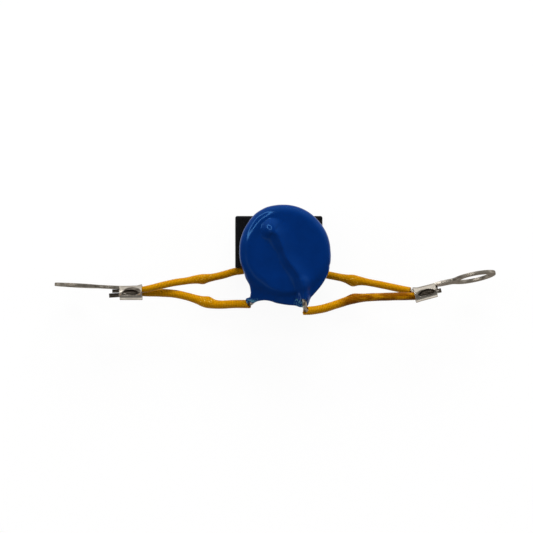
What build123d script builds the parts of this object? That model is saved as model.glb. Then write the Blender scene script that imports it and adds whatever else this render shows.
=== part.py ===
# A disc varistor and a box film capacitor, wired in parallel between two crimped ring terminals.
#
# Millimetres, +Z up. The part lies on the flat back of the capacitor's case, with the varistor on top of
# the case and its front face up. The origin is the middle of that back face. +X runs along the leads to
# the right-hand terminal, and +Y points from the lead side of the case to its closed side.

from build123d import *

import os
from math import atan, hypot, tan

# Capacitor: a moulded cup, open on its lead side, with a flattened roll of film potted in it.
CASE_WIDTH = 20.3
CASE_HEIGHT = 12.0
CASE_DEPTH = 6.5
CASE_WALL = 0.8
CASE_EDGE = 0.5
FOOT_WIDTH = 2.4
FOOT_HEIGHT = 0.4
POTTING_RECESS = 0.6
ROLL_LENGTH = 13.2
ROLL_HEIGHT = 8.6
ROLL_DEPTH = 4.2
SPRAY_THICKNESS = 0.5
CAPACITOR_WIRE = 0.4  # radius
CAPACITOR_PITCH = 15.0

# Varistor: a ceramic disc between two silver layers, a lead soldered to each, and the coat over all.
DISC_X = 1.15
DISC_Y = -2.0
COAT_RADIUS = 10.6
COAT_HALF = 2.3
CERAMIC_RADIUS = 9.7
CERAMIC_HALF = 1.6
ELECTRODE_RADIUS = 8.7
ELECTRODE_THICKNESS = 0.05
VARISTOR_WIRE = 0.5  # radius
COAT_OVER_WIRE = 0.45
LEG_RADIUS = 0.95
LEG_TIP = 0.6
CREST_SHARE = 0.4  # how much of a ridge's shorter flank its round crest takes
SOLDER_LENGTH = 10.0
SOLDER_WIDTH = 2.6
SOLDER_HEIGHT = 0.7
WIRE_OFFSET = CERAMIC_HALF + ELECTRODE_THICKNESS + VARISTOR_WIRE
DISC_Z = CASE_DEPTH + 0.2 + WIRE_OFFSET + VARISTOR_WIRE + COAT_OVER_WIRE
FRONT_WIRE_Z = DISC_Z + WIRE_OFFSET
REAR_WIRE_Z = DISC_Z - WIRE_OFFSET

# Ring terminal, in its own frame: x along the barrel from its mouth, y towards the tongue, z across it.
SHEET = 0.75
RING_RADIUS = 5.15
HOLE_RADIUS = 3.65
BARREL_LENGTH = 5.2
BARREL_WALL = 0.65
BARREL_STATIONS = [  # x, y of the middle, half height and half depth: a flared mouth, then the crimped run
    (0.0, 0.0, 1.86, 2.6),
    (1.1, -0.1, 1.67, 2.5),
    (BARREL_LENGTH, -0.06, 1.62, 2.4),
]
ROOF_MIDDLE = 1.18  # the middle of the sheet, where the tongue leaves the barrel's roof
NECK_START = 3.6
NECK_ROOT_HALF_WIDTH = 0.9
NECK_HALF_WIDTH = 1.85
NECK_LENGTH = 1.4
NECK_FILLET = 1.2
DENT_START = 0.9
DENT_LENGTH = 3.8
DENT_LOW = -0.65
DENT_HEIGHT = 1.45
DENT_FLOOR = 1.6
DENT_DRAFT = 14  # degrees
DENT_MOUTH = 2.8

# Sleeves, woven tube slipped over each lead and buckled where the lead is bent.
REAR_SLEEVE = 0.875  # outer radius
FRONT_SLEEVE = 0.95
SLEEVE_PLAY = 0.05
KINK_RADIUS = 6.0
BUCKLE_HALF_LENGTH = 2.6
BUCKLE_CROWN = 0.8  # half the length of a buckle's widest stretch
BUCKLE_FOOT = 0.75  # the buckle's end radius, as a share of the sleeve's

# Where each terminal's mouth is and how its barrel turns, how far the hole is from the mouth, and how many
# degrees the neck is bent and twisted past the barrel.
LEFT_TERMINAL = Pos(-31.73, -11.7, 7.6) * Rot(Z=1.6)
LEFT_REACH, LEFT_BEND, LEFT_TWIST = 15.15, 4.6, -2.0
RIGHT_TERMINAL = Pos(31.42, -12.39, 8.2) * Rot(Z=14)
RIGHT_REACH, RIGHT_BEND, RIGHT_TWIST = 14.4, -2.8, -10.4


def in_left_barrel(x, y, z):
    """A point of the left-hand terminal's frame, whose barrel points the other way."""
    return (LEFT_TERMINAL * Pos(-x, y, z)).position


def in_right_barrel(x, y, z):
    return (RIGHT_TERMINAL * Pos(x, y, z)).position


# Each lead's corners, from its end inside the component to its cut end past the barrel, with the
# bend radius at every corner between.
CAPACITOR_EXIT = CAPACITOR_PITCH / 2
CASE_MIDDLE_Z = CASE_DEPTH / 2
LEFT_CAPACITOR_ROUTE = [
    (-CAPACITOR_EXIT, 2.6, CASE_MIDDLE_Z),
    (-CAPACITOR_EXIT, -7.0, CASE_MIDDLE_Z),
    (-13.3, -7.8, 3.9),
    (-17.8, -8.6, 5.2),
    (-25.4, -10.1, 8.1),
    in_left_barrel(0.45, 0.1, 0.95),
    in_left_barrel(1.9, 0.5, 0.45),
    in_left_barrel(6.9, 0.42, 0.4),
]
LEFT_CAPACITOR_BENDS = [0.9, 12.0, KINK_RADIUS, 30.0, 1.0, 3.0]
RIGHT_CAPACITOR_ROUTE = [
    (CAPACITOR_EXIT, 2.6, CASE_MIDDLE_Z),
    (CAPACITOR_EXIT, -7.0, CASE_MIDDLE_Z),
    (11.0, -7.72, 3.5),
    (17.3, -8.85, 4.6),
    (24.0, -10.15, 6.0),
    (30.5, -11.15, 6.8),
    in_right_barrel(0.35, 0.25, -0.75),
    in_right_barrel(2.2, 0.5, -0.5),
    in_right_barrel(5.7, 0.45, -0.5),
]
RIGHT_CAPACITOR_BENDS = [0.9, 12.0, KINK_RADIUS, 30.0, 1.2, 1.2, 2.0]
REAR_LEAD_ROUTE = [
    (3.7, 3.0, REAR_WIRE_Z),
    (-5.4, -10.9, REAR_WIRE_Z),
    (-6.15, -14.35, REAR_WIRE_Z),
    (-16.1, -14.75, 7.4),
    (-23.2, -12.1, 6.9),
    (-27.6, -11.55, 6.4),
    in_left_barrel(0.45, 0.0, -0.95),
    in_left_barrel(1.9, -0.42, -0.6),
    in_left_barrel(7.7, -0.6, -0.5),
]
REAR_LEAD_BENDS = [4.0, 0.9, KINK_RADIUS, 14.0, 20.0, 1.0, 3.0]
FRONT_LEAD_ROUTE = [
    (-1.4, 3.1, FRONT_WIRE_Z),
    (5.6, -9.95, FRONT_WIRE_Z),
    (6.05, -16.2, FRONT_WIRE_Z),
    (9.3, -15.5, 11.85),
    (17.0, -13.0, 11.2),
    (24.0, -12.85, 9.9),
    in_right_barrel(0.45, -0.05, 0.95),
    in_right_barrel(1.9, -0.44, 0.4),
    in_right_barrel(6.3, -0.4, 0.35),
]
FRONT_LEAD_BENDS = [4.0, 0.9, 12.0, KINK_RADIUS, 30.0, 1.0, 3.0]


def tube(route, bends, radius):
    """A round bar of the radius given along a route of straight runs and tangent bends."""
    path = FilletPolyline(*route, radius=bends) if bends else Line(*route)
    start = Plane(origin=path @ 0, z_dir=path % 0)
    return sweep(start * Circle(radius), path=path)


def between(start, end, share):
    return Vector(*start) + (Vector(*end) - Vector(*start)) * share


def sleeve(route, bends, outer, wire, corners, cuts, buckle, swell, slant=0.0):
    """A sleeve over some of a lead's corners, cut at a share of the runs outside the first and the last.

    It is swollen to a radius at the buckled corner, and its first end may be cut at a slant, in degrees.
    """
    first, last = corners
    start = between(route[first - 1], route[first], cuts[0])
    end = between(route[last], route[last + 1], cuts[1])
    skin = tube([start, *route[first : last + 1], end], bends[first - 1 : last], outer)
    corner = Vector(*route[buckle])
    along = (Vector(*route[buckle + 1]) - Vector(*route[buckle - 1])).normalized()
    axis = Plane(origin=corner, x_dir=along, z_dir=along.cross(Vector(0, 0, 1)))
    foot = BUCKLE_FOOT * outer
    outline = Polyline(
        (-BUCKLE_HALF_LENGTH, 0), (-BUCKLE_HALF_LENGTH, foot), (-BUCKLE_CROWN, swell),
        (BUCKLE_CROWN, swell), (BUCKLE_HALF_LENGTH, foot), (BUCKLE_HALF_LENGTH, 0), close=True,
    )
    skin += axis.location * revolve(make_face(outline), Axis.X)
    if slant:
        inward = (Vector(*route[first]) - start).normalized()
        mouth = Plane(origin=start + inward * outer, x_dir=(0, 0, 1), z_dir=-inward)
        skin -= mouth.location * Rot(X=slant) * Pos(0, 0, 2 * outer) * Box(*[4 * outer] * 3)
    return skin - tube(route, bends, wire + SLEEVE_PLAY)


def capacitor_roll(length):
    """A stadium-shaped bar along X, as wide and as deep as the flattened roll of film."""
    section = Plane.YZ * SlotOverall(ROLL_HEIGHT, ROLL_DEPTH)
    return Pos(0, 0, CASE_MIDDLE_Z) * extrude(section, length / 2, both=True)


def end_spray(side):
    band = capacitor_roll(ROLL_LENGTH + 2 * SPRAY_THICKNESS) - capacitor_roll(ROLL_LENGTH)
    return band.solids().sort_by(Axis.X)[0 if side < 0 else -1]


def capacitor_case():
    """The moulded cup: rounded edges, an open lead side, and a standoff foot at each lead-side corner."""
    block = Pos(0, 0, CASE_MIDDLE_Z) * Box(CASE_WIDTH, CASE_HEIGHT, CASE_DEPTH)
    lead_side = block.faces().sort_by(Axis.Y)[0]
    block = fillet(block.edges() - lead_side.edges(), CASE_EDGE)
    bore = Box(CASE_WIDTH - 2 * CASE_WALL, CASE_HEIGHT, CASE_DEPTH - 2 * CASE_WALL)
    bore = fillet(bore.edges().filter_by(Axis.Y), CASE_EDGE)
    cup = block - Pos(0, -CASE_WALL, CASE_MIDDLE_Z) * bore
    notch = Box(CASE_WIDTH - 2 * FOOT_WIDTH, 2 * FOOT_HEIGHT, 2 * CASE_DEPTH)
    return cup - Pos(0, -CASE_HEIGHT / 2, CASE_MIDDLE_Z) * notch


def capacitor_potting(inside):
    """The resin between the roll and the cup, a little below the cup's rim."""
    height = CASE_HEIGHT - CASE_WALL - POTTING_RECESS
    fill = Box(CASE_WIDTH - 2 * CASE_WALL, height, CASE_DEPTH - 2 * CASE_WALL)
    fill = fillet(fill.edges().filter_by(Axis.Y), CASE_EDGE)
    return Pos(0, (POTTING_RECESS - CASE_WALL) / 2, CASE_MIDDLE_Z) * fill - inside


def electrode(side):
    z = DISC_Z + side * (CERAMIC_HALF + ELECTRODE_THICKNESS / 2)
    return Pos(DISC_X, DISC_Y, z) * Cylinder(ELECTRODE_RADIUS, ELECTRODE_THICKNESS)


def solder_joint(route, side, lead):
    """The bead that holds a lead to its electrode, sunk round the lead's straight end."""
    along = (Vector(*route[1]) - Vector(*route[0])).normalized()
    z = DISC_Z + side * (CERAMIC_HALF + ELECTRODE_THICKNESS)
    middle = Vector(*route[0]) + along * (SOLDER_LENGTH / 2 - 1)
    face = Plane(origin=(middle.X, middle.Y, z), x_dir=along, z_dir=(0, 0, side))
    return extrude(face * SlotOverall(SOLDER_LENGTH, SOLDER_WIDTH), SOLDER_HEIGHT, taper=40) - lead


def tent(place, left, right, height, depth):
    """A tent-shaped section with a round crest, its feet left and right of the crest, boxed in below."""
    corners = [(-left, -depth), (-left, 0), (0, height), (right, 0), (right, -depth)]
    outline = make_face(Polyline(*corners, close=True))
    turn = atan(height / left) + atan(height / right)
    crest = CREST_SHARE * hypot(min(left, right), height) / tan(turn / 2)
    return place * fillet(outline.vertices().sort_by(Axis.Y)[-1], crest)


def ridge(route, side):
    """The coat's drape over a lead, from nothing above the lead's end to a full leg below the disc.

    It falls steeply on the left of the crest and fades out on the right.
    """
    top, bend, tip = (Vector(*point) for point in route[:3])
    down, along = (bend - top).normalized(), (tip - bend).normalized()
    over = VARISTOR_WIRE + COAT_OVER_WIRE + WIRE_OFFSET - COAT_HALF
    stations = [  # place, direction, sink below the face, left and right feet, height, depth
        (top - down * 2.4, down, 0.2, 0.8, 1.0, 0.15, 1.5),
        (top - down * 0.2, down, 0.1, 1.6, 2.2, over, 1.5),
        (top + (bend - top) * 0.45, down, 0.0, 2.0, 3.0, over, 1.5),
        (bend - down * 1.5, down, 0.0, 1.8, 2.8, over, 1.2),
        (bend + along * 0.9, along, 0.0, 1.2, 1.3, over, 0.7),
        (bend + along * 2.0, along, 0.1, 0.9, 0.9, 0.9 * over, 0.3),
    ]
    sections = []
    for point, direction, sink, left, right, height, depth in stations:
        origin = (point.X, point.Y, DISC_Z + side * (COAT_HALF - sink))
        across = Vector(0, 0, side).cross(direction)
        sections.append(tent(Plane(origin=origin, x_dir=across, z_dir=direction), left, right, height, depth))
    return loft(sections, ruled=True)


def leg(start, end):
    """The coat round a lead below the disc, thinning towards its end."""
    run = Vector(*end) - Vector(*start)
    cone = Cone(LEG_RADIUS, LEG_TIP, run.length, align=(Align.CENTER, Align.CENTER, Align.MIN))
    return Plane(origin=start, z_dir=run.normalized()).location * cone


def skirt():
    """The web of coat between the legs: round-edged bars joined down from the disc, and an arched hem.

    It leans from the rear lead's depth on the left to just behind the front lead on the right.
    """
    stations = [  # y, then x and z of the left and right edges, then thickness
        (-3.0, -8.4, DISC_Z, 11.2, DISC_Z, 2.2),
        (-7.0, -8.15, DISC_Z - 0.5, 11.0, DISC_Z + 0.5, 2.8),
        (-9.3, -7.05, REAR_WIRE_Z + 0.9, 10.3, FRONT_WIRE_Z - 1.1, 2.7),
        (-10.9, -6.5, REAR_WIRE_Z + 0.5, 9.1, FRONT_WIRE_Z - 0.7, 2.4),
        (-12.2, -6.5, REAR_WIRE_Z, 7.7, FRONT_WIRE_Z - 0.5, 2.0),
        (-15.6, -7.3, REAR_WIRE_Z, 6.3, FRONT_WIRE_Z - 0.5, 1.5),
    ]
    bars = []
    for y, left, left_z, right, right_z, thickness in stations:
        lean = Vector(right - left, 0, right_z - left_z)
        middle = ((left + right) / 2, y, (left_z + right_z) / 2)
        place = Plane(origin=middle, x_dir=lean, z_dir=(0, -1, 0))
        bars.append(place * SlotOverall(lean.length, thickness))
    arch = ThreePointArc((-6.0, -14.1), (-3.3, -13.29), (-0.6, -13.96))
    below = Polyline(
        (-0.6, -13.96), (3.8, -14.54), (5.0, -14.92), (9, -14.92), (9, -17), (-9, -17), (-9, -14.5),
        (-6.0, -14.1),
    )
    hem = Pos(0, 0, REAR_WIRE_Z) * extrude(make_face(arch + below), 2 * COAT_RADIUS, both=True)
    return loft(bars) - hem


def varistor_coating(inside):
    flat = COAT_RADIUS - COAT_HALF
    face = Line((0, COAT_HALF), (flat, COAT_HALF))
    rim = ThreePointArc((flat, COAT_HALF), (COAT_RADIUS, 0), (flat, -COAT_HALF))
    back = Polyline((flat, -COAT_HALF), (0, -COAT_HALF), (0, COAT_HALF))
    section = Plane.XZ * make_face(face + rim + back)
    coat = Pos(DISC_X, DISC_Y, DISC_Z) * revolve(section, Axis.Z)
    coat += ridge(FRONT_LEAD_ROUTE, 1) + ridge(REAR_LEAD_ROUTE, -1) + skirt()
    for route, share in ((FRONT_LEAD_ROUTE, 0.55), (REAR_LEAD_ROUTE, 0.85)):
        coat += leg(route[1], between(route[1], route[2], share))
    return coat - inside


def rolled_barrel(inset):
    """The barrel's solid outline, or its bore if it is inset by the wall."""
    sections = []
    for x, middle, half_height, half_depth in BARREL_STATIONS:
        place = Plane(origin=(x, middle, 0), x_dir=(0, 0, 1), z_dir=(1, 0, 0))
        sections.append(place * SlotOverall(2 * (half_depth - inset), 2 * (half_height - inset)))
    return loft(sections, ruled=True)


def dent(grow, floor):
    """The crimping tool's mark: flat below, arched above, pressed in along Z."""
    left, right = DENT_START - grow, DENT_START + DENT_LENGTH + grow
    low, high = DENT_LOW - grow, DENT_LOW + DENT_HEIGHT + grow
    shoulder = (low + high) / 2
    arch = ThreePointArc((right, shoulder), ((left + right) / 2, high), (left, shoulder))
    rest = Polyline((left, shoulder), (left, low), (right, low), (right, shoulder))
    mouth = Plane.XY.offset(DENT_MOUTH) * make_face(arch + rest)
    return extrude(mouth, floor - DENT_MOUTH, taper=DENT_DRAFT)


def ring_terminal(reach, bend, twist):
    """Ring, neck and rolled barrel of one sheet, with the crimp pressed into the barrel's +Z side.

    The hole is at the reach from the mouth, and the neck bends and twists past the barrel, in degrees.
    """
    outer, bore = rolled_barrel(0), rolled_barrel(BARREL_WALL)
    bump = dent(0.5, DENT_FLOOR - BARREL_WALL) & outer
    barrel = outer - bore + bump - dent(0, DENT_FLOOR)

    tongue = Pos(BARREL_LENGTH, ROOF_MIDDLE, 0) * Rot(Z=bend) * Rot(X=twist)
    upright = Plane(origin=(0, 0, 0), x_dir=(0, 1, 0), z_dir=(1, 0, 0)).location
    root = Pos(NECK_START, ROOF_MIDDLE, 0) * upright * Rectangle(SHEET, 2 * NECK_ROOT_HALF_WIDTH)
    waist = tongue * Pos(NECK_LENGTH, 0, 0) * upright * Rectangle(SHEET, 2 * NECK_HALF_WIDTH)
    neck = loft([root, waist], ruled=True)
    ring = Pos(reach - BARREL_LENGTH, 0)
    strip = Pos((NECK_LENGTH + reach - BARREL_LENGTH) / 2, 0) * Rectangle(
        reach - BARREL_LENGTH - NECK_LENGTH, 2 * NECK_HALF_WIDTH
    )
    blank = strip + ring * Circle(RING_RADIUS)
    blank = fillet(blank.vertices().sort_by(Axis.X)[2:4], NECK_FILLET) - ring * Circle(HOLE_RADIUS)
    plate = tongue * Rot(X=90) * extrude(blank, SHEET / 2, both=True)
    return barrel + (neck + plate - bore)


def main():
    os.makedirs("parts", exist_ok=True)
    front_lead = tube(FRONT_LEAD_ROUTE, FRONT_LEAD_BENDS, VARISTOR_WIRE)
    rear_lead = tube(REAR_LEAD_ROUTE, REAR_LEAD_BENDS, VARISTOR_WIRE)
    left_capacitor_lead = tube(LEFT_CAPACITOR_ROUTE, LEFT_CAPACITOR_BENDS, CAPACITOR_WIRE)
    right_capacitor_lead = tube(RIGHT_CAPACITOR_ROUTE, RIGHT_CAPACITOR_BENDS, CAPACITOR_WIRE)

    ceramic = Pos(DISC_X, DISC_Y, DISC_Z) * Cylinder(CERAMIC_RADIUS, 2 * CERAMIC_HALF)
    ceramic = chamfer(ceramic.edges(), 0.3)
    front_electrode, rear_electrode = electrode(1), electrode(-1)
    front_solder = solder_joint(FRONT_LEAD_ROUTE, 1, front_lead)
    rear_solder = solder_joint(REAR_LEAD_ROUTE, -1, rear_lead)
    inside = [ceramic, front_electrode, rear_electrode, front_solder, rear_solder, front_lead, rear_lead]

    winding = capacitor_roll(ROLL_LENGTH)
    left_spray, right_spray = end_spray(-1), end_spray(1)
    potted = [winding, left_spray, right_spray, left_capacitor_lead, right_capacitor_lead]

    left_terminal = mirror(ring_terminal(LEFT_REACH, LEFT_BEND, LEFT_TWIST), Plane.YZ)
    left_terminal = LEFT_TERMINAL * left_terminal - left_capacitor_lead - rear_lead
    right_terminal = RIGHT_TERMINAL * ring_terminal(RIGHT_REACH, RIGHT_BEND, RIGHT_TWIST)
    right_terminal = right_terminal - right_capacitor_lead - front_lead
    pieces = {
        "zinc_oxide_disc": ceramic,
        "front_electrode": front_electrode,
        "rear_electrode": rear_electrode,
        "front_solder_joint": front_solder,
        "rear_solder_joint": rear_solder,
        "front_lead": front_lead,
        "rear_lead": rear_lead,
        "varistor_coating": varistor_coating(inside),
        "capacitor_case": capacitor_case(),
        "capacitor_winding": winding,
        "left_end_spray": left_spray,
        "right_end_spray": right_spray,
        "capacitor_potting": capacitor_potting(potted),
        "left_capacitor_lead": left_capacitor_lead,
        "right_capacitor_lead": right_capacitor_lead,
        "rear_left_sleeve": sleeve(
            LEFT_CAPACITOR_ROUTE, LEFT_CAPACITOR_BENDS, REAR_SLEEVE, CAPACITOR_WIRE,
            corners=(2, 4), cuts=(0.16, 0.95), buckle=3, swell=1.1,
        ),
        "rear_right_sleeve": sleeve(
            RIGHT_CAPACITOR_ROUTE, RIGHT_CAPACITOR_BENDS, REAR_SLEEVE, CAPACITOR_WIRE,
            corners=(2, 4), cuts=(0.3, 0.93), buckle=3, swell=1.25,
        ),
        "front_left_sleeve": sleeve(
            REAR_LEAD_ROUTE, REAR_LEAD_BENDS, FRONT_SLEEVE, VARISTOR_WIRE,
            corners=(3, 5), cuts=(0.12, 0.93), buckle=3, swell=1.13,
        ),
        "front_right_sleeve": sleeve(
            FRONT_LEAD_ROUTE, FRONT_LEAD_BENDS, FRONT_SLEEVE, VARISTOR_WIRE,
            corners=(3, 5), cuts=(0.0, 0.95), buckle=4, swell=1.13, slant=-18,
        ),
        "left_ring_terminal": left_terminal,
        "right_ring_terminal": right_terminal,
    }
    for name, shape in pieces.items():
        export_step(shape, f"parts/{name}.step")


if __name__ == "__main__":
    main()
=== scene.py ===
"""Looks of a disc varistor wired in parallel with a box film capacitor between two ring terminals.

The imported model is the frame. This file adds the dipped epoxy coat, the braided sleeves, the stamped
terminals, a finish for every piece, and the stage.
"""

import math

import bmesh
import bpy
import numpy as np
from bpy.props import FloatProperty, FloatVectorProperty, IntProperty, PointerProperty
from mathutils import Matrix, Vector


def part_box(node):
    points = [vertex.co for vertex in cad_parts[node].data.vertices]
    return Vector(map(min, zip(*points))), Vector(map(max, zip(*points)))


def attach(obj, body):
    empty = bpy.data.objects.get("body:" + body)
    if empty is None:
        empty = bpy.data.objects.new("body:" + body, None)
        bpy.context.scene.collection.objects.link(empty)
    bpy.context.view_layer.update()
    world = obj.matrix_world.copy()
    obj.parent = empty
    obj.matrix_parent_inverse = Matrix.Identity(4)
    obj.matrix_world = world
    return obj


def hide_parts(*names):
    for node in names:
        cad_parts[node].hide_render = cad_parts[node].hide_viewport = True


bl_info = {
    "name": "Varistor Looks",
    "version": (1, 0, 0),
    "blender": (4, 5, 0),
    "location": "View3D > Sidebar > Varistor",
    "description": "Coat, sleeves, terminals, finishes and stage of a varistor assembly",
    "category": "Object",
}

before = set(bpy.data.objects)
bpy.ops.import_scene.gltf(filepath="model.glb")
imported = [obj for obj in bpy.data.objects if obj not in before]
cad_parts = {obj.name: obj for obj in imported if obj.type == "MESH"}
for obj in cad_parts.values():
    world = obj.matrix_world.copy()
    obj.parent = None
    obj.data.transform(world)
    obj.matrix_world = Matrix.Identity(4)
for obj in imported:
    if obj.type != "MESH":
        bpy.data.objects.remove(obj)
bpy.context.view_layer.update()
MM = 0.001


def middle(node):
    low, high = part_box(node)
    return (low + high) / 2


DISC = middle("zinc_oxide_disc")
WIRE_RADIUS = 0.5
FRONT_WIRE = (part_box("front_lead")[1].z - DISC.z) / MM - WIRE_RADIUS
REAR_WIRE = -FRONT_WIRE


# Settings


def length(name, description, millimetres):
    return FloatProperty(
        name=name, description=description, default=millimetres * MM, precision=5, unit="LENGTH"
    )


def colour(name, description, *rgb):
    return FloatVectorProperty(
        name=name, description=description, default=rgb, size=3, min=0, max=1, subtype="COLOR"
    )


class CoatSettings(bpy.types.PropertyGroup):
    radius: length("Radius", "Radius of the coated disc", 10.55)
    half_thickness: length("Half thickness", "From the middle of the disc to its face", 2.3)
    crown: length("Crown", "How far the face swells at its middle", 0.12)
    ridge: length("Ridge", "How far the coat stands up over the front lead", 1.0)
    cover: length("Cover", "Radius of the coat round a lead", 0.95)
    pitch: length("Pitch", "Spacing of the mesh", 0.2)
    blue: colour("Blue", "The epoxy", 0.0002, 0.0165, 0.112)
    chip: colour("Chip", "Chipped epoxy at the hem", 0.09, 0.27, 0.34)


class SleeveSettings(bpy.types.PropertyGroup):
    front_radius: length("Front radius", "Outer radius of the varistor's sleeves", 0.99)
    rear_radius: length("Rear radius", "Outer radius of the capacitor's sleeves", 0.86)
    wall: length("Wall", "Thickness of the sleeve", 0.32)
    relief: length("Relief", "Height of the woven yarns", 0.06)
    yarns: IntProperty(name="Yarns", description="Yarns round the sleeve, each way", default=16, min=4)
    yellow: colour("Yellow", "Varnish over the yarns", 0.49, 0.219, 0.0004)
    # Painted shade: the groove colour darkens the sleeve between the yarns.
    groove_shade: colour("Groove", "Varnish between the yarns", 0.29, 0.12, 0.0003)
    stain: colour("Stain", "Scorched varnish", 0.13, 0.035, 0.0003)
    # Painted highlight: this pale colour makes specks that stand for sparkles on the varnish near the
    # buckles.
    sparkle: colour("Crumb", "Dry varnish crumbs at the buckles", 0.85, 0.68, 0.16)


class TerminalSettings(bpy.types.PropertyGroup):
    voxel: length("Voxel", "Spacing of the mesh", 0.08)
    softening: IntProperty(
        name="Softening", description="How far the stamped edges are worn", default=4, min=0
    )
    tin: colour("Tin", "Bright plating", 0.73, 0.67, 0.58)
    tarnish: colour("Tarnish", "Dull plating", 0.21, 0.185, 0.15)
    # The grime colour is grime on the wires and painted shade over the terminals' crimps.
    grime_and_shade: colour("Grime", "Black oil in the crimps", 0.035, 0.022, 0.012)


class StageSettings(bpy.types.PropertyGroup):
    camera_height: FloatProperty(
        name="Camera height", description="Camera above the floor", default=0.9, unit="LENGTH"
    )
    view_width: length("View width", "What the picture spans", 123.4)
    floor: colour("Floor", "Pale floor", 0.9, 0.9, 0.9)
    key_power: FloatProperty(name="Key", description="Lamp beyond the case, in watts", default=6.2)
    side_power: FloatProperty(name="Sides", description="Each lamp at the sides, in watts", default=2.4)


GROUPS = {
    "varistor_coat": CoatSettings,
    "varistor_sleeves": SleeveSettings,
    "varistor_terminals": TerminalSettings,
    "varistor_stage": StageSettings,
}


# Shader nodes


class Socket:
    """An output socket that takes part in Python expressions: each operator adds a Math node."""

    def __init__(self, tree, output):
        self.tree, self.output = tree, output

    def maths(self, operation, *values):
        inputs = dict(enumerate(values))
        return add_node(self.tree, "Math", {"operation": operation}, inputs)

    def __add__(self, other):
        return self.maths("ADD", self, other)

    def __sub__(self, other):
        return self.maths("SUBTRACT", self, other)

    def __rsub__(self, other):
        return self.maths("SUBTRACT", other, self)

    def __mul__(self, other):
        return self.maths("MULTIPLY", self, other)

    def __truediv__(self, other):
        return self.maths("DIVIDE", self, other)

    def __pow__(self, other):
        return self.maths("POWER", self, other)

    __radd__, __rmul__ = __add__, __mul__

    def unsigned(self):
        """The value without its sign."""
        return self.maths("ABSOLUTE", self)

    def step(self, low, high):
        """0 below low, 1 above high and smooth between them."""
        return add_node(
            self.tree,
            "MapRange",
            {"interpolation_type": "SMOOTHSTEP"},
            {"Value": self, "From Min": low, "From Max": high},
        )


def add_node(tree, kind, settings=(), values=(), output=0):
    """Adds a node, makes its settings, then fills or links its sockets."""
    node = tree.nodes.new("ShaderNode" + kind)
    for key, value in dict(settings).items():
        setattr(node, key, value)
    for key, value in dict(values).items():
        if isinstance(value, Socket):
            tree.links.new(value.output, node.inputs[key])
        else:
            node.inputs[key].default_value = value
    return Socket(tree, node.outputs[output]) if node.outputs else None


def empty_tree(owner):
    """The node tree of a material or world, with nothing in it."""
    owner.use_nodes = True
    owner.node_tree.nodes.clear()
    return owner.node_tree


MIX_SHARE, MIX_FIRST, MIX_SECOND, MIX_RESULT = 0, 6, 7, 2  # a Mix node's sockets when it mixes colours


class Finish:
    """A material being made, with a Principled shader that set() fills."""

    def __init__(self, name):
        self.material = bpy.data.materials.new(name)
        self.material.use_nodes = True
        self.tree = self.material.node_tree
        self.shader = self.tree.nodes["Principled BSDF"]
        self.place = self.add("TexCoord", output="Object")

    def add(self, kind, settings=(), values=(), output=0):
        return add_node(self.tree, kind, settings, values, output)

    def noise(self, size, detail=2.0, stretch=(1, 1, 1)):
        """Noise between 0 and 1 whose spots are about one size across, in millimetres."""
        scaled = self.add(
            "Mapping", values={"Vector": self.place, "Scale": [s / (size * MM) for s in stretch]}
        )
        return self.add("TexNoise", values={"Vector": scaled, "Scale": 1.0, "Detail": detail})

    def mix(self, share, first, second):
        """A colour between two others."""
        first, second = (rgb if isinstance(rgb, Socket) else (*rgb, 1) for rgb in (first, second))
        values = {MIX_SHARE: share, MIX_FIRST: first, MIX_SECOND: second}
        return self.add("Mix", {"data_type": "RGBA"}, values, output=MIX_RESULT)

    def axis(self, name):
        """One coordinate of the piece, in metres."""
        return self.add("SeparateXYZ", values={"Vector": self.place}, output=name)

    def bump(self, height, distance):
        """A normal from a height between 0 and 1 that stands for a distance, in millimetres."""
        return self.add("Bump", values={"Height": height, "Distance": distance * MM, "Strength": 1.0})

    def set(self, **inputs):
        """Fills or links the shader's inputs, whose names have _ for a space."""
        for key, value in inputs.items():
            target = self.shader.inputs[key.replace("_", " ")]
            if isinstance(value, Socket):
                self.tree.links.new(value.output, target)
            elif hasattr(value, "__len__"):
                target.default_value = (*value, 1)
            else:
                target.default_value = value
        return self.material


# The chipped parts of the hem, in millimetres. The first two are from the disc's centre.
CHIPS_TOP = -11.0
CHIPS_MIDDLE = -1.6
CHIPS_NEAR = 3.7  # how far from their middle they start, on both sides
CHIPS_RIGHT_END = 6.6  # how far from their middle the bare wire is, which ends them


def epoxy_finish(settings):
    """Glossy dipped epoxy with soft flow marks, chipped to a paler blue at the hem by the legs."""
    finish = Finish("blue_epoxy")
    cloud = finish.noise(3.0, 3.0)
    depth = tuple(0.8 * part for part in settings.blue)
    body = finish.mix(cloud, depth, tuple(1.2 * part for part in settings.blue))
    below = (DISC.y + CHIPS_TOP * MM - finish.axis("Y")).step(0.0, 0.6 * MM)
    aside = finish.axis("X") - (DISC.x + CHIPS_MIDDLE * MM)
    by_legs = aside.unsigned().step(CHIPS_NEAR * MM, (CHIPS_NEAR + 1.0) * MM)
    left_of_wire = 1 - aside.step(CHIPS_RIGHT_END * MM, (CHIPS_RIGHT_END + 0.4) * MM)
    chips = finish.noise(0.4, 2.0).step(0.47, 0.6) * below * by_legs * left_of_wire
    base = finish.mix(chips * 0.75, body, tuple(settings.chip))
    peel = finish.noise(1.6, 1.0) * 0.7 + finish.noise(0.35, 2.0) * 0.12
    return finish.set(
        Base_Color=base,
        Roughness=0.07 + finish.noise(0.8) * 0.06 + chips * 0.3,
        IOR=1.52,
        Specular_Tint=(0.15, 0.5, 1.0),
        Normal=finish.bump(peel, 0.01),
    )


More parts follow.
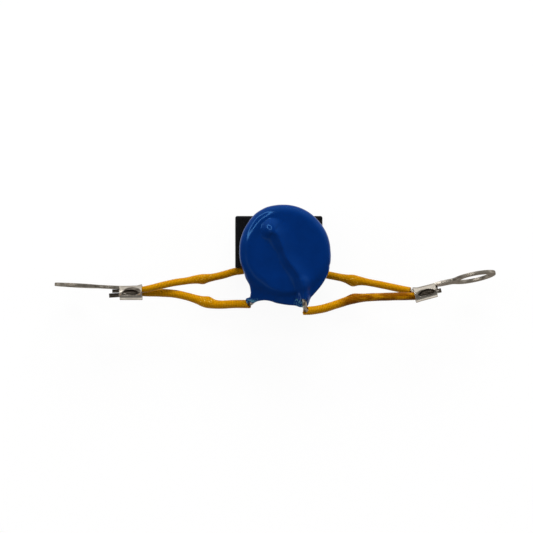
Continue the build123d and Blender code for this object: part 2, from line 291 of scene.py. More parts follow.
def sleeve_finish(name, settings, buckle, stain_from, stain_to):
    """Varnished yarn with painted shade in its grooves, streaked where it is scorched, and painted sparkle
    highlights near its buckle.

    buckle, stain_from and stain_to are places along X, in millimetres.
    """
    finish = Finish(name)
    yarn = finish.add("Attribute", {"attribute_name": "yarn"}, output="Fac")
    drift = finish.noise(2.2, 3.0)
    # Painted shade: the groove colour goes where the yarn height is low.
    varnish = finish.mix(yarn.step(0.15, 0.95), tuple(settings.groove_shade), tuple(settings.yellow))
    along = finish.axis("X")
    scorched = along.step(stain_from * MM, (stain_from + 3) * MM)
    scorched = scorched * (1 - along.step((stain_to - 2) * MM, stain_to * MM))
    stain = scorched * finish.noise(1.2, 4.0, stretch=(0.25, 1, 1)).step(0.3, 0.52)
    base = finish.mix(stain * 0.85 + drift * 0.14, varnish, tuple(settings.stain))
    near = 1 - (along - buckle * MM).unsigned().step(0.8 * MM, 3.5 * MM)
    # Painted highlight: pale specks on the yarn tops near the buckle stand for sparkles of light.
    painted_sparkles = finish.noise(0.3, 1.0, stretch=(0.6, 1, 1)).step(0.6, 0.68) * yarn.step(0.4, 0.8)
    base = finish.mix(painted_sparkles * (1 - stain) * (near * 0.5 + 0.12), base, tuple(settings.sparkle))
    return finish.set(
        Base_Color=base,
        Roughness=0.36 + finish.noise(0.5) * 0.2 + (1 - yarn) * 0.15,
        IOR=1.5,
        Specular_IOR_Level=0.22,
        Specular_Tint=(1.0, 0.65, 0.02),
        Normal=finish.bump(finish.noise(0.12, 2.0), 0.02),
    )


BARREL_END = 36.4  # how far out from the middle both barrels end, in millimetres


def tin_finish(name, settings, tarnish, roughness, film_size, grime_and_shade_over):
    """Tin plating with painted shade on its flanks, tarnished past the barrels and dark where its mask says.

    The mask gives the dark colour's share: grime and stains on wires, painted shade over the crimps.
    """
    finish = Finish(name)
    film = finish.noise(film_size, 4.0).step(0.35, 0.7)
    normal = finish.add("NewGeometry", output="Normal")
    up = finish.add("SeparateXYZ", values={"Vector": normal}, output="Z")
    # Painted shade: the flanks, whose normals lie near level, are darkened towards the tarnish colour.
    painted_flank_shade = 1 - up.unsigned().step(0.1, 0.75)
    past = finish.axis("X").unsigned().step(BARREL_END * MM, (BARREL_END + 2.0) * MM)
    base = finish.mix(film * 0.35 + past * tarnish, tuple(settings.tin), tuple(settings.tarnish))
    base = finish.mix(painted_flank_shade * 0.6, base, tuple(settings.tarnish))
    # The wires pass grime and stains; the terminals pass painted shade over their crimps.
    grime_and_shade = grime_and_shade_over(finish)
    base = finish.mix(grime_and_shade * 0.9, base, tuple(settings.grime_and_shade))
    scratches = finish.noise(0.6, 2.0, stretch=(0.15, 1, 1))
    return finish.set(
        Base_Color=base,
        Metallic=1.0,
        Roughness=roughness + film * 0.1 + grime_and_shade * 0.3 + past * 0.15,
        Specular_Tint=(0.35, 0.32, 0.3),
        Normal=finish.bump(scratches * 0.5 + finish.noise(1.6) * 0.5, 0.003),
    )


def crimp_shade(x, y, half_length, half_width, slope):
    """Painted shade over a barrel's dent, an ellipse seen from above, in millimetres."""

    def cover(finish):
        along = finish.axis("X") / MM - x
        across = finish.axis("Y") / MM - y - along * slope
        spread = (along / half_length) ** 2 + (across / half_width) ** 2
        streak = finish.noise(0.35, 2.0, stretch=(0.15, 1, 1)).step(0.35, 0.6) * 0.35 + 0.65
        return (1 - spread.step(0.7, 1.15)) * streak

    return cover


def on_bare_wire(finish):
    """Grime on the wires' ends past the barrels, and stains where they leave the coat."""
    reach = finish.axis("X").unsigned()
    stains = finish.noise(0.55, 2.0, stretch=(1, 0.5, 1)).step(0.46, 0.58)
    near_coat = 1 - reach.step(9 * MM, 11 * MM)
    cut_ends = reach.step((BARREL_END + 0.2) * MM, (BARREL_END + 1.0) * MM)
    return cut_ends * 0.75 + stains * near_coat * 0.85


def plain_finish(name, rgb, roughness, grain, depth, metallic=0.0, drift=0.25, gloss=0.5):
    """A cast, pressed or moulded surface: its colour drifts a little and its grain shows."""
    finish = Finish(name)
    cloud = finish.noise(2.5, 4.0)
    base = finish.mix(cloud, tuple(p * (1 - drift) for p in rgb), tuple(p * (1 + drift) for p in rgb))
    return finish.set(
        Base_Color=base,
        Metallic=metallic,
        Roughness=roughness + cloud * 0.12,
        Specular_IOR_Level=gloss,
        Normal=finish.bump(finish.noise(grain, 3.0), depth),
    )


# Meshes


def new_piece(name, points, faces, material, slot, *nodes):
    """A smooth-shaded piece from points in the row frame, in metres, that stands for CAD nodes."""
    mesh = bpy.data.meshes.new(name)
    mesh.from_pydata(points, [], faces)
    mesh.validate()
    mesh.shade_smooth()
    mesh.materials.append(material)
    piece = bpy.data.objects.new(name, mesh)
    bpy.context.scene.collection.objects.link(piece)
    return place_piece(piece, slot, *nodes)


def place_piece(piece, slot, *nodes):
    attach(piece, "root")
    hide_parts(*nodes)
    return piece


SPAN_SAMPLES = 24  # points worked out between two knots before they are evened out


def line_through(points, step):
    """Points about one step apart on a smooth line through some, which may have more than three sizes."""
    knots = np.array(points, float)
    before = 2 * knots[0] - knots[1]
    after = 2 * knots[-1] - knots[-2]
    padded = np.vstack([before, knots, after])
    t = np.linspace(0, 1, SPAN_SAMPLES, endpoint=False)[:, None]
    spans = []
    for a, b, c, d in zip(padded, padded[1:], padded[2:], padded[3:]):
        spans.append(
            0.5 * (2 * b + (c - a) * t + (2 * a - 5 * b + 4 * c - d) * t**2
                   + (3 * b - a - 3 * c + d) * t**3)
        )
    line = np.vstack([*spans, knots[-1]])
    gaps = np.linalg.norm(np.diff(line[:, :3], axis=0), axis=1)
    reach = np.concatenate([[0], np.cumsum(gaps)])
    even = np.linspace(0, reach[-1], max(2, round(reach[-1] / step)) + 1)
    return np.stack([np.interp(even, reach, column) for column in line.T], axis=1)


# Coat: a distance function over the disc, the drape over the leads and the skirt between them


def smooth_union(first, second, blend):
    share = np.clip(0.5 + 0.5 * (second - first) / blend, 0, 1)
    return second + (first - second) * share - blend * share * (1 - share)


def to_bar(points, start, end, radius):
    """Distance to a round-ended bar."""
    start, end = np.array(start, float), np.array(end, float)
    along = end - start
    share = np.clip((points - start) @ along / (along @ along), 0, 1)
    return np.linalg.norm(points - start - share[:, None] * along, axis=1) - radius


def to_outline(points, corners):
    """Signed distance from points in a plane to a closed outline, negative inside it."""
    nearest = np.full(len(points), np.inf)
    inside = np.zeros(len(points), bool)
    for a, b in zip(corners, np.roll(corners, -1, axis=0)):
        edge, offset = b - a, points - a
        share = np.clip(offset @ edge / (edge @ edge), 0, 1)
        nearest = np.minimum(nearest, ((offset - share[:, None] * edge) ** 2).sum(1))
        straddles = (a[1] > points[:, 1]) != (b[1] > points[:, 1])
        rise = edge[1] if edge[1] else 1e-12
        inside ^= straddles & (points[:, 0] < a[0] + edge[0] * (points[:, 1] - a[1]) / rise)
    return np.sqrt(nearest) * np.where(inside, -1, 1)


def pillow(reach, through, radius, half, rim, widest):
    """Distance to a disc whose rim turns down in an ellipse to its widest level, and back in below it.

    The ellipse starts rim in from the edge.
    """
    above = half - widest
    below = half + widest
    height = np.where(through > widest, above, below)
    squeeze = above / rim
    inward = (reach - radius + rim) * squeeze
    level = np.abs(through - widest) * above / height
    arc = np.hypot(np.maximum(inward, 0), level) - above
    return np.where(inward > 0, arc, level - above)


def rounded(across, through, radius):
    """Distance to a slab's edge of a radius, from the distances across and through the slab."""
    corner = np.stack([across + radius, through + radius])
    return np.hypot(*np.maximum(corner, 0)) + np.minimum(corner.max(0), 0) - radius


# Millimetres from the disc's centre, +Y away from the leads.
RIM = [  # degrees from +X, how far in from the edge the rim starts to turn down, and the edge's wander
    (0, 1.9, 0.25), (20, 2.0, 0.12), (40, 2.2, -0.03), (60, 2.4, 0.0), (80, 2.5, 0.02), (90, 2.5, 0.02),
    (100, 2.5, 0.08), (112, 2.5, 0.22), (128, 2.5, 0.2), (142, 2.5, -0.06), (160, 2.5, -0.18),
    (180, 2.4, -0.25), (198, 2.5, -0.1), (215, 2.8, 0.0), (235, 2.6, 0.0), (252, 1.7, 0.0),
    (270, 1.2, 0.0), (300, 1.2, 0.0), (325, 1.6, 0.35), (337, 1.8, 0.6), (345, 1.8, 0.62),
    (351, 1.8, 0.46), (360, 1.9, 0.25),
]
RIM_LEVEL = 0.95  # where the rim is widest, above the disc's middle
CREST = [  # x, y, and how far the ridge reaches to the left and to the right
    (-2.3, 4.3, 3.0, 3.2), (-1.45, 3.5, 3.0, 3.6), (-0.75, 1.9, 2.6, 3.8), (0.0, -0.1, 1.7, 3.9),
    (0.8, -2.15, 1.9, 3.9), (2.4, -4.2, 2.4, 3.8), (3.45, -5.7, 2.8, 3.5), (4.2, -7.25, 2.6, 3.1),
    (4.7, -9.2, 2.0, 2.6), (4.95, -13.0, 1.2, 1.6),
]
CREST_CAP = 3.0  # how far the ridge reaches past its start
CREST_STEEP, CREST_EASE = 0.7, 0.15  # how hollow its left flank is, and how much less the right one is
FACE_OF_RIDGE = 0.6  # how much of the ridge the skirt's face takes
FRONT_LEG = [(4.3, -7.4), (4.7, -11.0)]
REAR_RIDGE = [(2.55, 5.0), (-6.55, -8.9), (-7.15, -11.5)]
FLAKES = [  # start, end and radius of the broken coat round the rear leg
    ((-8.0, -11.15), (-8.5, -11.3), 0.24), ((-8.5, -11.5), (-8.4, -12.05), 0.28),
    ((-8.3, -11.75), (-7.6, -11.65), 0.3),
]
FLAKES_UP = 1.05  # how far the flakes stand in front of the rear wire
BARE_WIRE = [(4.5, -11.7), (4.75, -16.0)]  # where the coat is off the front lead
BARE_UP, BARE_RADIUS = 0.3, 0.56
SKIRT_EDGE = 0.35  # radius of the skirt's edge
SKIRT_SIDE_LEFT = [
    (-8.3, -2.6), (-8.9, -4.8), (-8.85, -6.2), (-8.5, -7.0), (-8.05, -7.9), (-7.8, -8.8), (-7.7, -9.9),
    (-7.85, -10.7),
]
SKIRT_HEM = [
    (-7.85, -11.3), (-7.65, -11.9), (-7.4, -12.35), (-7.0, -12.25), (-5.95, -11.8), (-4.4, -11.6),
    (-2.85, -11.85), (-1.7, -12.25), (0.6, -12.65), (2.7, -12.85), (3.85, -13.2),
]
SKIRT_SIDE_RIGHT = [
    (5.45, -12.95), (6.1, -11.2), (6.96, -10.2), (8.65, -8.2), (9.74, -6.4), (10.3, -4.95),
    (10.2, -3.8), (8.0, -3.0),
]


def beside(points, line):
    """Where points lie by a line that has widths.

    It gives how far they are from the nearest point, on which side (-1 left, 1 right), how far behind the
    line's start as a share, and the widths there.
    """
    nearest = np.full(len(points), np.inf)
    side, behind, widths = np.zeros(len(points)), np.zeros(len(points)), np.ones((len(points), 2))
    for number, (a, b) in enumerate(zip(line, line[1:])):
        edge, offset = b[:2] - a[:2], points - a[:2]
        size = np.hypot(*edge)
        share = offset @ edge / size**2
        held = np.clip(share, 0, 1)[:, None]
        away = offset - held * edge
        gap = np.maximum(np.hypot(*away.T), 1e-9)
        closer = gap < nearest
        nearest = np.where(closer, gap, nearest)
        turn = (away[:, 0] * edge[1] - away[:, 1] * edge[0]) / (gap * size)
        side = np.where(closer, -turn, side)
        back = np.clip(-share * size / gap, 0, 1) if number == 0 else 0
        behind = np.where(closer, back, behind)
        widths = np.where(closer[:, None], a[2:] + (b[2:] - a[2:]) * held, widths)
    return nearest, side, behind, widths


def ridge_swell(points, line):
    """The share of its full height that the drape over the front lead has.

    It is steep on the left and long on the right.
    """
    gap, side, behind, widths = beside(points, line)
    right = 0.5 + 0.5 * side
    width = widths[:, 0] + (widths[:, 1] - widths[:, 0]) * right
    width = width + (CREST_CAP - width) * behind
    share = np.sqrt((gap / width) ** 2 + 0.003) - 0.055  # round at the crest, and then straight
    slope = np.clip(1 - np.maximum(share, 0) ** (1 + behind), 0, 1)
    return slope ** (1 + (CREST_STEEP - CREST_EASE * right) * (1 - behind))


def coat_distance(settings):
    """The coat as a function of points in millimetres from the disc's centre."""
    radius, half = settings.radius / MM, settings.half_thickness / MM
    cover, crown, rise = (x / MM for x in (settings.cover, settings.crown, settings.ridge))
    sides = line_through(SKIRT_SIDE_LEFT + SKIRT_HEM + SKIRT_SIDE_RIGHT, 0.45)[:, :2]
    crest = line_through(CREST, 0.8)
    rim_angles, rim_depths, wander = np.array(RIM).T

    def distance(points):
        u, v, w = points.T
        reach = np.hypot(u, v)
        angle = np.degrees(np.arctan2(v, u)) % 360
        rim = np.interp(angle, rim_angles, rim_depths)
        edge = radius + np.interp(angle, rim_angles, wander)
        swell = crown * np.clip(1 - (reach / radius) ** 2, 0, 1)
        front = np.clip(w / half, 0, 1)
        ridge = rise * ridge_swell(points[:, :2], crest) * front
        disc = pillow(reach, w - swell * np.sign(w) - ridge, edge, half, rim, RIM_LEVEL)

        # The skirt's face falls away from the disc's, more on the left than on the right, and its back rises
        # towards the front leg. Under the disc both sink into it.
        low = np.clip((-v - 6.4) / 5.0, 0, 1)
        across = np.clip((u + 7.5) / 12.5, 0, 1)
        fall = np.maximum(reach - radius + rim, 0)
        sink = 0.13 * np.clip(v + 6.5, 0, 8)
        face = half - 0.12 - (0.42 - 0.24 * across) * fall + ridge * FACE_OF_RIDGE - sink
        back = 0.25 - half + (0.2 + 2.4 * across) * low + sink
        through = np.maximum(w - face, back - w)
        skirt = rounded(to_outline(points[:, :2], sides), through, SKIRT_EDGE)
        coat = smooth_union(disc, skirt, 0.6)

        front_leg = (np.array((*point, FRONT_WIRE)) for point in FRONT_LEG)
        coat = smooth_union(coat, to_bar(points, *front_leg, cover - 0.1), 1.3)
        top, bend, tip = (np.array((*point, REAR_WIRE)) for point in REAR_RIDGE)
        rear = np.minimum(to_bar(points, top, bend, cover), to_bar(points, bend, tip, cover - 0.4))
        coat = smooth_union(coat, rear, 1.2 - 0.6 * low)

        for start, end, size in FLAKES:
            ends = ((*point, REAR_WIRE + FLAKES_UP) for point in (start, end))
            coat = smooth_union(coat, to_bar(points, *ends, size), 0.35)
        bare = ((*point, FRONT_WIRE + BARE_UP) for point in BARE_WIRE)
        return np.maximum(coat, -to_bar(points, *bare, BARE_RADIUS))

    return distance


SMOOTHING_PASSES = 5
COAT_BOX = ((-11.5, -14.5, -4.2), (11.5, 11.5, 4.2))  # holds the whole coat


def closed_surface(distance, low, high, pitch):
    """Points and four-sided faces of the surface where a distance function is zero.

    Each cell of a grid that the surface passes through gets a point, and each grid edge that it crosses gets
    a face between the four cells round it. The points are then evened out and put back on the surface.
    """
    ticks = [np.arange(a, b, pitch) for a, b in zip(low, high)]
    grid = np.stack(np.meshgrid(*ticks, indexing="ij"), axis=-1)
    inside = (distance(grid.reshape(-1, 3)) < 0).reshape(grid.shape[:3])
    halves = (slice(None, -1), slice(1, None))
    corners = [inside[i, j, k].astype(int) for i in halves for j in halves for k in halves]
    filled = sum(corners)
    cells = np.argwhere((filled > 0) & (filled < len(corners)))
    number = np.full(filled.shape, -1)
    number[tuple(cells.T)] = np.arange(len(cells))
    points = np.array(low) + (cells + 0.5) * pitch

    faces = []
    for axis in range(3):
        first, second = (axis + 1) % 3, (axis + 2) % 3
        near = np.take(inside, range(inside.shape[axis] - 1), axis)
        far = np.take(inside, range(1, inside.shape[axis]), axis)
        crossings = np.argwhere(near != far)
        ring = []
        for a, b in ((0, 0), (-1, 0), (-1, -1), (0, -1)):
            shift = np.zeros(3, int)
            shift[first], shift[second] = a, b
            ring.append(number[tuple((crossings + shift).T)])
        ring = np.stack(ring, axis=1)
        leaving = near[tuple(crossings.T)]
        faces.append(np.where(leaving[:, None], ring, ring[:, ::-1]))
    faces = np.vstack(faces)

    for _ in range(SMOOTHING_PASSES):
        points = onto_surface(relaxed(points, faces), distance)
    return points, faces


def relaxed(points, faces):
    """Each point moved to the mean of those it shares an edge with."""
    total, count = np.zeros_like(points), np.zeros(len(points))
    for a, b in ((0, 1), (1, 2), (2, 3), (3, 0)):
        np.add.at(total, faces[:, a], points[faces[:, b]])
        np.add.at(total, faces[:, b], points[faces[:, a]])
        np.add.at(count, faces[:, a], 1)
        np.add.at(count, faces[:, b], 1)
    return total / count[:, None]


def onto_surface(points, distance, probe=0.01):
    """Points moved along the gradient until the distance is zero."""
    for _ in range(2):
        here = distance(points)
        slope = np.stack(
            [distance(points + step) - here for step in np.eye(3) * probe], axis=1
        ) / probe
        steep = np.maximum((slope**2).sum(1), 0.2)
        points = points - slope * (here / steep)[:, None]
    return points


class VARISTOR_OT_coat(bpy.types.Operator):
    """Dip the disc and its leads in blue epoxy"""

    bl_idname = "varistor.coat"
    bl_label = "Epoxy Coat"

    def execute(self, context):
        settings = context.scene.varistor_coat
        pitch = settings.pitch / MM
        points, faces = closed_surface(coat_distance(settings), *COAT_BOX, pitch)
        points = np.array(DISC) + points * MM
        finish = epoxy_finish(settings)
        new_piece(
            "epoxy_coat", points.tolist(), faces.tolist(), finish, "blue_epoxy", "varistor_coating"
        )
        return {"FINISHED"}


# Sleeves: each station of a route is x, y and z in millimetres, then the sleeve's width there as a share.
# The bulge is where along X the buckle is, its side (1 or -1), and its swell as a share. The cut is how much
# the first end slants with the distance sideways and up. The stain is the stretch of X that is scorched.

SQUARE = (0.0, 0.0)  # a cut with no slant
CLEAN = (-60, -50)  # a stretch with no sleeve in it

SLEEVES = {
    "rear_left_sleeve": dict(
        route=[
            (-8.3, -6.72, 3.3, 1.0), (-10.4, -6.98, 3.45, 1.04), (-13.2, -7.78, 3.9, 1.04),
            (-15.5, -8.28, 4.5, 1.04), (-16.6, -8.42, 4.8, 1.12), (-17.7, -8.56, 5.1, 1.27),
            (-18.9, -8.66, 5.5, 1.16), (-21.5, -9.1, 6.5, 0.99), (-24.3, -9.5, 7.6, 0.98),
            (-27.6, -10.22, 8.35, 0.94), (-30.6, -10.95, 8.6, 0.9), (-32.2, -11.15, 8.6, 0.9),
        ],
        bulge=(-17.8, -1, 0.25),
        cut=SQUARE,
        stain=CLEAN,
    ),
    "rear_right_sleeve": dict(
        route=[
            (8.8, -7.25, 3.3, 1.12), (11.0, -7.65, 3.5, 1.08), (13.6, -8.15, 3.95, 1.05),
            (15.6, -8.55, 4.3, 1.15), (17.3, -8.85, 4.6, 1.42), (18.7, -9.05, 4.9, 1.22),
            (20.6, -9.4, 5.3, 1.02), (24.0, -10.05, 6.0, 1.0), (27.5, -10.8, 6.5, 1.0),
            (30.5, -11.4, 6.85, 1.0),
        ],
        bulge=(17.3, -1, 0.3),
        cut=SQUARE,
        stain=CLEAN,
    ),
    "front_left_sleeve": dict(
        route=[
            (-6.95, -14.47, 7.65, 1.0), (-10.2, -14.45, 7.6, 0.99), (-13.2, -14.6, 7.5, 1.0),
            (-15.0, -14.5, 7.42, 1.08), (-16.4, -14.22, 7.38, 1.25), (-17.6, -13.92, 7.32, 1.2),
            (-19.2, -13.35, 7.2, 1.03), (-21.5, -12.66, 7.03, 0.96), (-24.3, -12.08, 6.8, 0.96),
            (-27.6, -11.85, 6.45, 0.97), (-30.6, -11.82, 6.55, 0.93), (-32.2, -11.8, 6.6, 0.86),
        ],
        bulge=(-16.6, 1, 0.25),
        cut=(0.25, 0.35),
        stain=CLEAN,
    ),
    "front_right_sleeve": dict(
        route=[
            (6.15, -15.98, 11.95, 0.98), (7.8, -15.88, 11.92, 1.0), (10.4, -15.42, 11.8, 1.0),
            (13.4, -14.48, 11.55, 1.0), (15.5, -13.8, 11.35, 1.04), (17.1, -13.32, 11.15, 1.12),
            (18.6, -13.08, 11.0, 1.05), (21.0, -12.88, 10.6, 0.97), (24.6, -12.75, 9.9, 0.95),
            (28.0, -12.65, 9.4, 0.97), (30.8, -12.6, 9.15, 0.97), (31.8, -12.55, 9.1, 0.95),
        ],
        bulge=(17.4, 1, 0.16),
        cut=(-0.35, 0.6),
        stain=(13, 33),
    ),
}
INNER_EVERY = 8  # the bore needs one ring for this many outer ones
CELL_SAMPLES = 5  # mesh points across a yarn
BULGE_REACH = 1.5  # how far along the sleeve a buckle swells it
CUT_REACH = 2.5  # how far from its first end a slanted cut moves the yarns
FRAY, FRAY_REACH = 0.09, 0.25  # how unevenly the yarns are cut, and how far from the end that shows


def braid(turns, reach, yarns, cell):
    """Height of a plain braid, 0 to 1, at shares of a turn and at a distance along."""
    p, q = yarns * turns + reach / cell, yarns * turns - reach / cell
    over_p = np.sin(np.pi * (q % 1)) * (1 + 0.55 * np.cos(np.pi * (p + np.floor(q))))
    over_q = np.sin(np.pi * (p % 1)) * (1 - 0.55 * np.cos(np.pi * (q + np.floor(p))))
    return np.maximum(over_p, over_q) / 1.55


def woven_sleeve(stations, radius, settings, bulge, cut, seed):
    """Points, faces and yarn heights of a braided tube, in millimetres."""
    yarns, wall, relief = settings.yarns, settings.wall / MM, settings.relief / MM
    cell = 2 * math.pi * radius / yarns
    line = line_through(stations, cell / CELL_SAMPLES)
    centre, share = line[:, :3], line[:, 3]
    around = yarns * CELL_SAMPLES
    turns = np.arange(around) / around
    angle = 2 * math.pi * turns
    forward = np.gradient(centre, axis=0)
    forward /= np.linalg.norm(forward, axis=1)[:, None]
    side = np.cross(forward, (0, 0, 1))
    side /= np.linalg.norm(side, axis=1)[:, None]
    up = np.cross(side, forward)
    reach = np.arange(len(centre)) * cell / CELL_SAMPLES

    height = braid(turns[None, :], reach[:, None], yarns, cell)
    rng = np.random.default_rng(seed)
    where, lobe_side, lobe = bulge
    spot = np.exp(-(((centre[:, 0] - where) / BULGE_REACH) ** 2))[:, None]
    outward = np.clip(lobe_side * np.sign(forward[0, 0]) * -np.cos(angle), 0, 1)[None, :] ** 2
    wide = radius * share[:, None] * (1 + lobe * spot * outward)
    tall = radius * (0.5 + 0.5 * share[:, None])
    wander = 1 + 0.012 * np.sin(reach[:, None] * 1.7 + seed) * np.cos(2 * angle + seed)[None, :]
    skin = (height - 1) * relief
    a = (wide * wander + skin) * np.cos(angle)
    b = (tall * wander + skin) * np.sin(angle)
    ends = np.zeros((len(centre), around))
    ends += (cut[0] * a + cut[1] * b) * np.clip(1 - reach / CUT_REACH, 0, 1)[:, None]
    for end in (0, -1):
        away = np.abs(reach - reach[end])[:, None]
        ends += rng.uniform(-FRAY, FRAY, around) * np.clip(1 - away / FRAY_REACH, 0, 1)
    outer = (
        centre[:, None] + a[..., None] * side[:, None] + b[..., None] * up[:, None]
        + ends[..., None] * forward[:, None]
    )

    rings = list(range(len(centre) - 1, 0, -INNER_EVERY)) + [0]
    bore = (radius - wall) / radius
    inner = (
        centre[rings, None] + bore * (a[rings, :, None] * side[rings, None])
        + bore * (b[rings, :, None] * up[rings, None]) + ends[rings, :, None] * forward[rings, None]
    )
    points = np.vstack([outer.reshape(-1, 3), inner.reshape(-1, 3)])
    # The bore has a low yarn height, so it takes the painted groove shade.
    heights = np.concatenate([height.ravel(), np.full(inner.shape[0] * around, 0.2)])
    total = len(centre) + len(rings)
    i, j = np.meshgrid(np.arange(total), np.arange(around), indexing="ij")
    after, beside = (i + 1) % total, (j + 1) % around
    faces = np.stack(
        [i * around + j, i * around + beside, after * around + beside, after * around + j], axis=-1
    )
    return points, faces.reshape(-1, 4), heights


class VARISTOR_OT_sleeves(bpy.types.Operator):
    """Braid a yellow sleeve over each lead"""

    bl_idname = "varistor.sleeves"
    bl_label = "Sleeves"

    def execute(self, context):
        settings = context.scene.varistor_sleeves
        for seed, (node, sleeve) in enumerate(SLEEVES.items()):
            radius = settings.front_radius if node.startswith("front") else settings.rear_radius
            points, faces, heights = woven_sleeve(
                sleeve["route"], radius / MM, settings, sleeve["bulge"], sleeve["cut"], seed
            )
            finish = sleeve_finish("yellow_" + node, settings, sleeve["bulge"][0], *sleeve["stain"])
            piece = new_piece(
                "woven_" + node, (points * MM).tolist(), faces.tolist(), finish, "yellow_sleeve", node
            )
            yarn = piece.data.attributes.new("yarn", "FLOAT", "POINT")
            yarn.data.foreach_set("value", heights.astype(np.float32))
        return {"FINISHED"}


# Terminals


def softened_copy(name, node, voxel, softening):
    """The node's own form, remeshed evenly and with its sharp edges worn round."""
    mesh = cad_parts[node].data.copy()
    mesh.name = name
    mesh.materials.clear()
    solid = bmesh.new()
    solid.from_mesh(mesh)
    bmesh.ops.remove_doubles(solid, verts=solid.verts, dist=1e-6)
    solid.to_mesh(mesh)
    solid.free()
    piece = bpy.data.objects.new(name, mesh)
    bpy.context.scene.collection.objects.link(piece)
    remesh = piece.modifiers.new("even", "REMESH")
    remesh.mode, remesh.voxel_size = "VOXEL", voxel
    remesh.use_smooth_shade = True
    smooth = piece.modifiers.new("worn", "SMOOTH")
    smooth.factor, smooth.iterations = 0.5, softening
    graph = bpy.context.evaluated_depsgraph_get()
    piece.data = bpy.data.meshes.new_from_object(piece.evaluated_get(graph))
    piece.data.name = name
    piece.modifiers.clear()
    piece.data.shade_smooth()
    return piece


# Tarnish and roughness, then the painted shade over the dent: its middle's x and y, its half length and
# width, and its slope.
TERMINALS = {
    "left": (0.55, 0.26, -33.95, -11.45, 2.1, 0.95, 0.0),
    "right": (0.55, 0.2, 34.1, -11.75, 2.3, 0.9, 0.12),
}


class VARISTOR_OT_terminals(bpy.types.Operator):
    """Stamp and crimp the two ring terminals"""

    bl_idname = "varistor.terminals"
    bl_label = "Ring Terminals"

    def execute(self, context):
        settings = context.scene.varistor_terminals
        for side, (tarnish, roughness, *dent) in TERMINALS.items():
            node = side + "_ring_terminal"
            piece = softened_copy("stamped_" + node, node, settings.voxel, settings.softening)
            piece.data.materials.clear()
            # The terminals' dark mask is painted shade over their crimps.
            finish = tin_finish(
                "tinned_" + node, settings, tarnish, roughness, film_size=1.6, grime_and_shade_over=crimp_shade(*dent)
            )
            piece.data.materials.append(finish)
            place_piece(piece, "tinned_terminal", node)
        return {"FINISHED"}


# Finishes of the pieces that stay as the frame has them

LEADS = ("front_lead", "rear_lead", "left_capacitor_lead", "right_capacitor_lead")


class VARISTOR_OT_finishes(bpy.types.Operator):
    """Finish the leads, the capacitor and what the coat hides"""

    bl_idname = "varistor.finishes"
    bl_label = "Finishes"

    def execute(self, context):
        settings = context.scene.varistor_terminals
        wire = tin_finish(
            "tinned_wire", settings, tarnish=0.5, roughness=0.32, film_size=0.5, grime_and_shade_over=on_bare_wire
        )
        silver = plain_finish("fired_silver", (0.6, 0.6, 0.57), 0.45, 0.08, 0.01, metallic=1.0)
        solder = plain_finish("solder", (0.42, 0.42, 0.41), 0.3, 0.3, 0.02, metallic=1.0)
        zinc = plain_finish("sprayed_zinc", (0.33, 0.33, 0.34), 0.7, 0.15, 0.05, metallic=0.8)
        finishes = {
            "capacitor_case": plain_finish(
                "black_plastic", (0.0022, 0.0024, 0.0032), 0.42, 0.1, 0.012, gloss=0.12
            ),
            "capacitor_potting": plain_finish("potting_resin", (0.02, 0.018, 0.016), 0.2, 1.5, 0.04),
            "capacitor_winding": plain_finish("film_roll", (0.5, 0.5, 0.47), 0.3, 0.2, 0.01),
            "left_end_spray": zinc,
            "right_end_spray": zinc,
            "zinc_oxide_disc": plain_finish("zinc_oxide", (0.05, 0.06, 0.05), 0.75, 0.05, 0.01),
            "front_electrode": silver,
            "rear_electrode": silver,
            "front_solder_joint": solder,
            "rear_solder_joint": solder,
            **{lead: wire for lead in LEADS},
        }
        for node, material in finishes.items():
            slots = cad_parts[node].data.materials
            slots.clear()
            slots.append(material)
        return {"FINISHED"}


# Stage


def lamp(name, power, size, place, aim):
    """A soft lamp that lights the object without showing in its gloss."""
    light = bpy.data.lights.new(name, "AREA")
    light.shape, light.size, light.size_y = "RECTANGLE", *size
    light.energy = power
    holder = bpy.data.objects.new(name, light)
    holder.location = place
    holder.rotation_mode = "QUATERNION"
    holder.rotation_quaternion = (Vector(place) - Vector(aim)).to_track_quat("Z", "Y")
    holder.visible_glossy = False
    bpy.context.scene.collection.objects.link(holder)
    return holder


HOOP_AZIMUTH, HOOP_HEIGHT = math.radians(132), math.radians(57)
HOOP_RADIUS, HOOP_WIDTH = math.radians(14), math.radians(2.6)
STRIP_AZIMUTH, STRIP_HEIGHT = math.radians(218), math.radians(60)
ROOM_LEVEL, WALL_LEVEL, BEYOND_LEVEL, HOOP_LEVEL, STRIP_LEVEL = 0.16, 0.02, 0.68, 6.5, 0.6


def towards(azimuth, height):
    """The direction of a place in the room, which is a unit vector."""
    return (
        math.cos(azimuth) * math.cos(height),
        math.sin(azimuth) * math.cos(height),
        math.sin(height),
    )


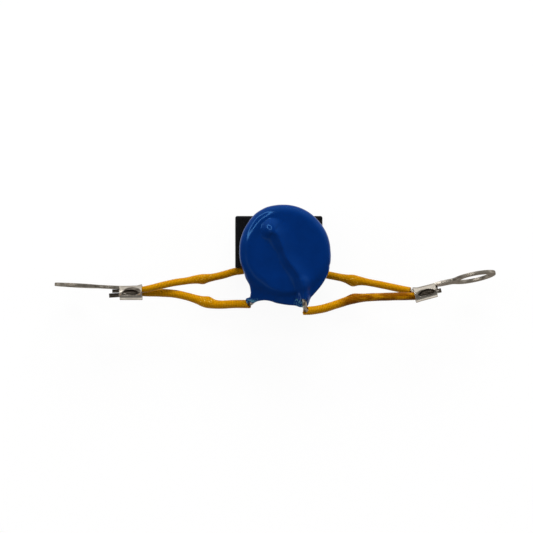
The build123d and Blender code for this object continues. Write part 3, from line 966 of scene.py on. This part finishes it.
def studio_world():
    """A dim room, bright beyond the case.

    It has a lit hoop on the far left and a warm strip on the near left.
    """
    world = bpy.data.worlds.new("studio")
    bpy.context.scene.world = world
    tree = empty_tree(world)
    direction = add_node(tree, "TexCoord", output="Generated")
    x, y, z = (
        add_node(tree, "SeparateXYZ", values={"Vector": direction}, output=name) for name in "XYZ"
    )

    def off_axis(azimuth, height):
        a, b, c = towards(azimuth, height)
        facing = x * a + y * b + z * c
        return facing.maths("ARCCOSINE", facing)

    walls = 1 - z.step(0.55, 0.99)
    beyond = y.step(-0.1, 0.75)
    off_hoop = off_axis(HOOP_AZIMUTH, HOOP_HEIGHT) - HOOP_RADIUS
    hoop = 1 - off_hoop.unsigned().step(HOOP_WIDTH * 0.5, HOOP_WIDTH)
    strip = 1 - (z - math.sin(STRIP_HEIGHT)).unsigned().step(0.03, 0.08)
    strip = strip * (1 - off_axis(STRIP_AZIMUTH, STRIP_HEIGHT).step(0.15, 0.45))
    room = walls * (beyond * BEYOND_LEVEL + WALL_LEVEL) + hoop * HOOP_LEVEL + ROOM_LEVEL
    plain = add_node(tree, "Background", values={"Color": (1, 1, 1, 1), "Strength": room})
    glow = {"Color": (1, 0.55, 0.2, 1), "Strength": strip * STRIP_LEVEL}
    warm = add_node(tree, "Background", values=glow)
    both = add_node(tree, "AddShader", values={0: plain, 1: warm})
    add_node(tree, "OutputWorld", values={"Surface": both})


WHITE_SHARE = 0.93  # the rest of what is seen of the floor takes shadows


def floor_finish(floor):
    """A floor that shows white, and still takes the object's shadow."""
    material = bpy.data.materials.new("floor")
    tree = empty_tree(material)
    camera, glossy, through = (
        add_node(tree, "LightPath", output=kind)
        for kind in ("Is Camera Ray", "Is Glossy Ray", "Is Transmission Ray")
    )
    seen = camera.maths("MAXIMUM", camera, glossy.maths("MAXIMUM", glossy, through))
    plain = add_node(tree, "BsdfDiffuse", values={"Color": (*floor, 1)})
    white = add_node(tree, "Emission", values={"Color": (1, 1, 1, 1), "Strength": 1.0})
    mixed = add_node(tree, "MixShader", values={0: seen * WHITE_SHARE, 1: plain, 2: white})
    add_node(tree, "OutputMaterial", values={"Surface": mixed})
    return material


VIEW_OFFSET = Vector((-4.02, -3.75, 0)) * MM  # the middle of the view, from the disc's centre
FLOOR_REACH = 2.5  # how far the floor goes each way, in metres


class VARISTOR_OT_stage(bpy.types.Operator):
    """Lay the floor, light the part and place the camera"""

    bl_idname = "varistor.stage"
    bl_label = "Stage"

    def execute(self, context):
        settings = context.scene.varistor_stage
        scene = context.scene
        scene.view_settings.view_transform = "Standard"

        aim = DISC + VIEW_OFFSET
        camera = bpy.data.cameras.new("camera")
        camera.sensor_width = 36
        camera.lens = camera.sensor_width * (settings.camera_height - DISC.z) / settings.view_width
        camera.clip_start = 0.01
        holder = bpy.data.objects.new("camera", camera)
        holder.location = (aim.x, aim.y, settings.camera_height)
        scene.collection.objects.link(holder)
        scene.camera = holder

        corners = [(-1, -1, 0), (1, -1, 0), (1, 1, 0), (-1, 1, 0)]
        mesh = bpy.data.meshes.new("floor")
        mesh.from_pydata([Vector(corner) * FLOOR_REACH for corner in corners], [], [(0, 1, 2, 3)])
        mesh.materials.append(floor_finish(settings.floor))
        floor = bpy.data.objects.new("floor", mesh)
        scene.collection.objects.link(floor)

        studio_world()
        lamp("key", settings.key_power, (0.5, 0.3), (0.08, 0.72, 0.31), aim)
        for name, side in (("left", -1), ("right", 1)):
            lamp(name, settings.side_power, (0.4, 0.3), (side * 0.7, 0.05, 0.31), aim)
        return {"FINISHED"}


OPERATORS = (
    VARISTOR_OT_stage,
    VARISTOR_OT_coat,
    VARISTOR_OT_sleeves,
    VARISTOR_OT_terminals,
    VARISTOR_OT_finishes,
)


class VARISTOR_PT_panel(bpy.types.Panel):
    """Makes the varistor's pieces"""

    bl_idname = "VARISTOR_PT_panel"
    bl_label = "Varistor"
    bl_space_type = "VIEW_3D"
    bl_region_type = "UI"
    bl_category = "Varistor"

    def draw(self, context):
        for operator in OPERATORS:
            self.layout.operator(operator.bl_idname)
        for name, group in GROUPS.items():
            box = self.layout.box()
            for key in group.__annotations__:
                box.prop(getattr(context.scene, name), key)


CLASSES = (*GROUPS.values(), *OPERATORS, VARISTOR_PT_panel)


def register():
    for item in CLASSES:
        bpy.utils.register_class(item)
    for name, group in GROUPS.items():
        setattr(bpy.types.Scene, name, PointerProperty(type=group))


def unregister():
    for name in GROUPS:
        delattr(bpy.types.Scene, name)
    for item in reversed(CLASSES):
        bpy.utils.unregister_class(item)


def main():
    register()
    for operator in (
        bpy.ops.varistor.stage,
        bpy.ops.varistor.coat,
        bpy.ops.varistor.sleeves,
        bpy.ops.varistor.terminals,
        bpy.ops.varistor.finishes,
    ):
        operator()


if __name__ == "__main__":
    main()
